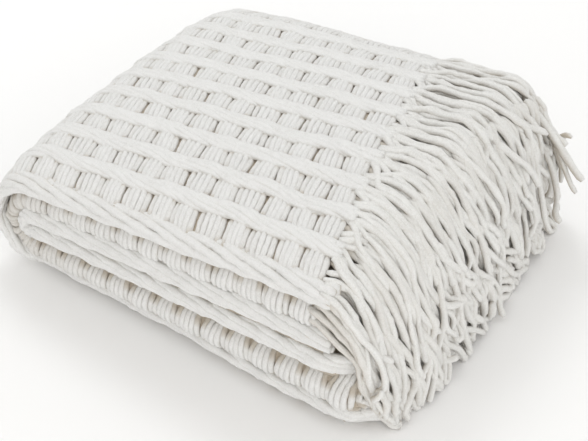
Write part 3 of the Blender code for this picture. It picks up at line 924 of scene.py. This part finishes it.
# Fringe of the other layers: the same chenille strands from the cloth's second end and the layers between.
# They come out below the first fringe and fill the side of the stack under it.
LAYER_ENDS = ((1, 2.6), (2, 1.4), (3, 0.2), (4, -1.6))       # how deep inside, and the rise in layers
LAYER_STRANDS = 6
LAYER_ROW_PITCH = 0.0300
LAYER_STRAND_PITCH = 0.0050
LAYER_LENGTH = 0.166
LAYER_BACK_SHORTER = 0.054
LAYER_UNLIKE_LENGTH = 0.016
LAYER_UNLIKE_ACROSS = 0.004
LAYER_BACK_REACH_LESS = 0.033
LOOP_EVERY = 9                   # one strand of so many ends in a loop
LOOPS_FROM = 0.04
LAYER_LOOP_WIDTH = 0.0072
roots, reach = [], []
for depth_in, rise in LAYER_ENDS:
    for row in range(ROWS):
        for strand in range(LAYER_STRANDS):
            from_middle = strand - (LAYER_STRANDS - 1) / 2
            depth = 0.010 + row * LAYER_ROW_PITCH + from_middle * LAYER_STRAND_PITCH
            start = UPPER_END - 0.002 * depth_in - 0.010 * max(1.0 - depth / 0.035, 0.0)
            spot = settle(np.array(start), np.array(max(depth, 0.003)),
                          np.array(AXIS_HEIGHT + BEND_CENTRE + rise * LAYER))
            line_across = float(spot[1]) + LAYER_UNLIKE_ACROSS * dice.standard_normal()
            roots.append((*[float(v) for v in spot], line_across))
            reach.append(RIGHT_REACH + 0.0035 - 0.0018 * depth_in)
back_share, front_share = shares(roots)
lengths = LAYER_LENGTH - LAYER_BACK_SHORTER * back_share ** 2
lengths = lengths + LAYER_UNLIKE_LENGTH * dice.standard_normal(len(roots))
reach = np.array(reach) - LAYER_BACK_REACH_LESS * back_share ** 2 - FRONT_REACH_LESS * front_share
paths = strand_paths(roots, reach, lengths, 1.1 + 0.8 * dice.random(len(roots)), 0.5)
for index in range(3, len(roots), LOOP_EVERY):
    if roots[index][1] > LOOPS_FROM:
        paths[index] = turn_back(paths[index], LAYER_LOOP_WIDTH)
# Painted shade on these strands, fading slowly along their length and a little deeper near the front corner.
pieces.append(fringe("fringe_of_lower_layers", paths, "fringe_lower", 0.09 + 0.10 * front_share, 0.9))

# The floor: one wide sheet of white paper with a dull face. It lies just under the throw and is stage,
# not part of the object.
bpy.ops.mesh.primitive_plane_add(size=6.0, location=(0.0, 0.0, -0.0005))
floor = bpy.context.object
floor.name = "floor"
floor_paint = bpy.data.materials.new("floor_paper")
floor_paint.use_nodes = True
floor_shader = floor_paint.node_tree.nodes["Principled BSDF"]
floor_shader.inputs["Base Color"].default_value = (0.97, 0.97, 0.97, 1.0)
floor_shader.inputs["Roughness"].default_value = 0.9
floor.data.materials.append(floor_paint)

# The light: a pale surround as in a white studio, a soft lamp above the back left, and two wider ones that
# light the fringed side and the open front.
world = bpy.data.worlds.new("studio")
bpy.context.scene.world = world
world.use_nodes = True
world.node_tree.nodes["Background"].inputs["Color"].default_value = (1.0, 0.992, 0.975, 1.0)
world.node_tree.nodes["Background"].inputs["Strength"].default_value = 0.82


def soft_light(name, place, size, power, colour):
    """A square lamp that faces the throw."""
    light = bpy.data.lights.new(name, "AREA")
    light.size = size
    light.energy = power
    light.color = colour
    lamp = bpy.data.objects.new(name, light)
    lamp.location = place
    lamp.rotation_euler = (-Vector(place)).to_track_quat("-Z", "Y").to_euler()
    bpy.context.collection.objects.link(lamp)


soft_light("key", (-0.7, 0.5, 1.5), 0.6, 5.8, (0.965, 0.985, 1.0))
soft_light("side_fill", (1.5, -1.0, 0.8), 1.4, 6.3, (1.0, 0.985, 0.96))
soft_light("front_fill", (0.0, -1.6, 0.6), 1.2, 1.5, (1.0, 0.93, 0.86))

# The camera: a long lens from the front right, looking down on the stack. Its angle and distance were
# fitted to the rows and edges of the throw.
AZIMUTH = math.radians(35.8)
ELEVATION = math.radians(42.3)
DISTANCE = 1.7006
LENS = 116.3
LOOK_AT = Vector(corner) + Vector((0.2067, 0.1742, 0.021))
camera_data = bpy.data.cameras.new("camera")
camera_data.lens = LENS
camera_data.sensor_width = 36.0
camera = bpy.data.objects.new("camera", camera_data)
away = Vector((math.sin(AZIMUTH) * math.cos(ELEVATION), -math.cos(AZIMUTH) * math.cos(ELEVATION),
               math.sin(ELEVATION)))
camera.location = LOOK_AT + away * DISTANCE
camera.rotation_euler = (-away).to_track_quat("-Z", "Y").to_euler()
bpy.context.collection.objects.link(camera)
bpy.context.scene.camera = camera
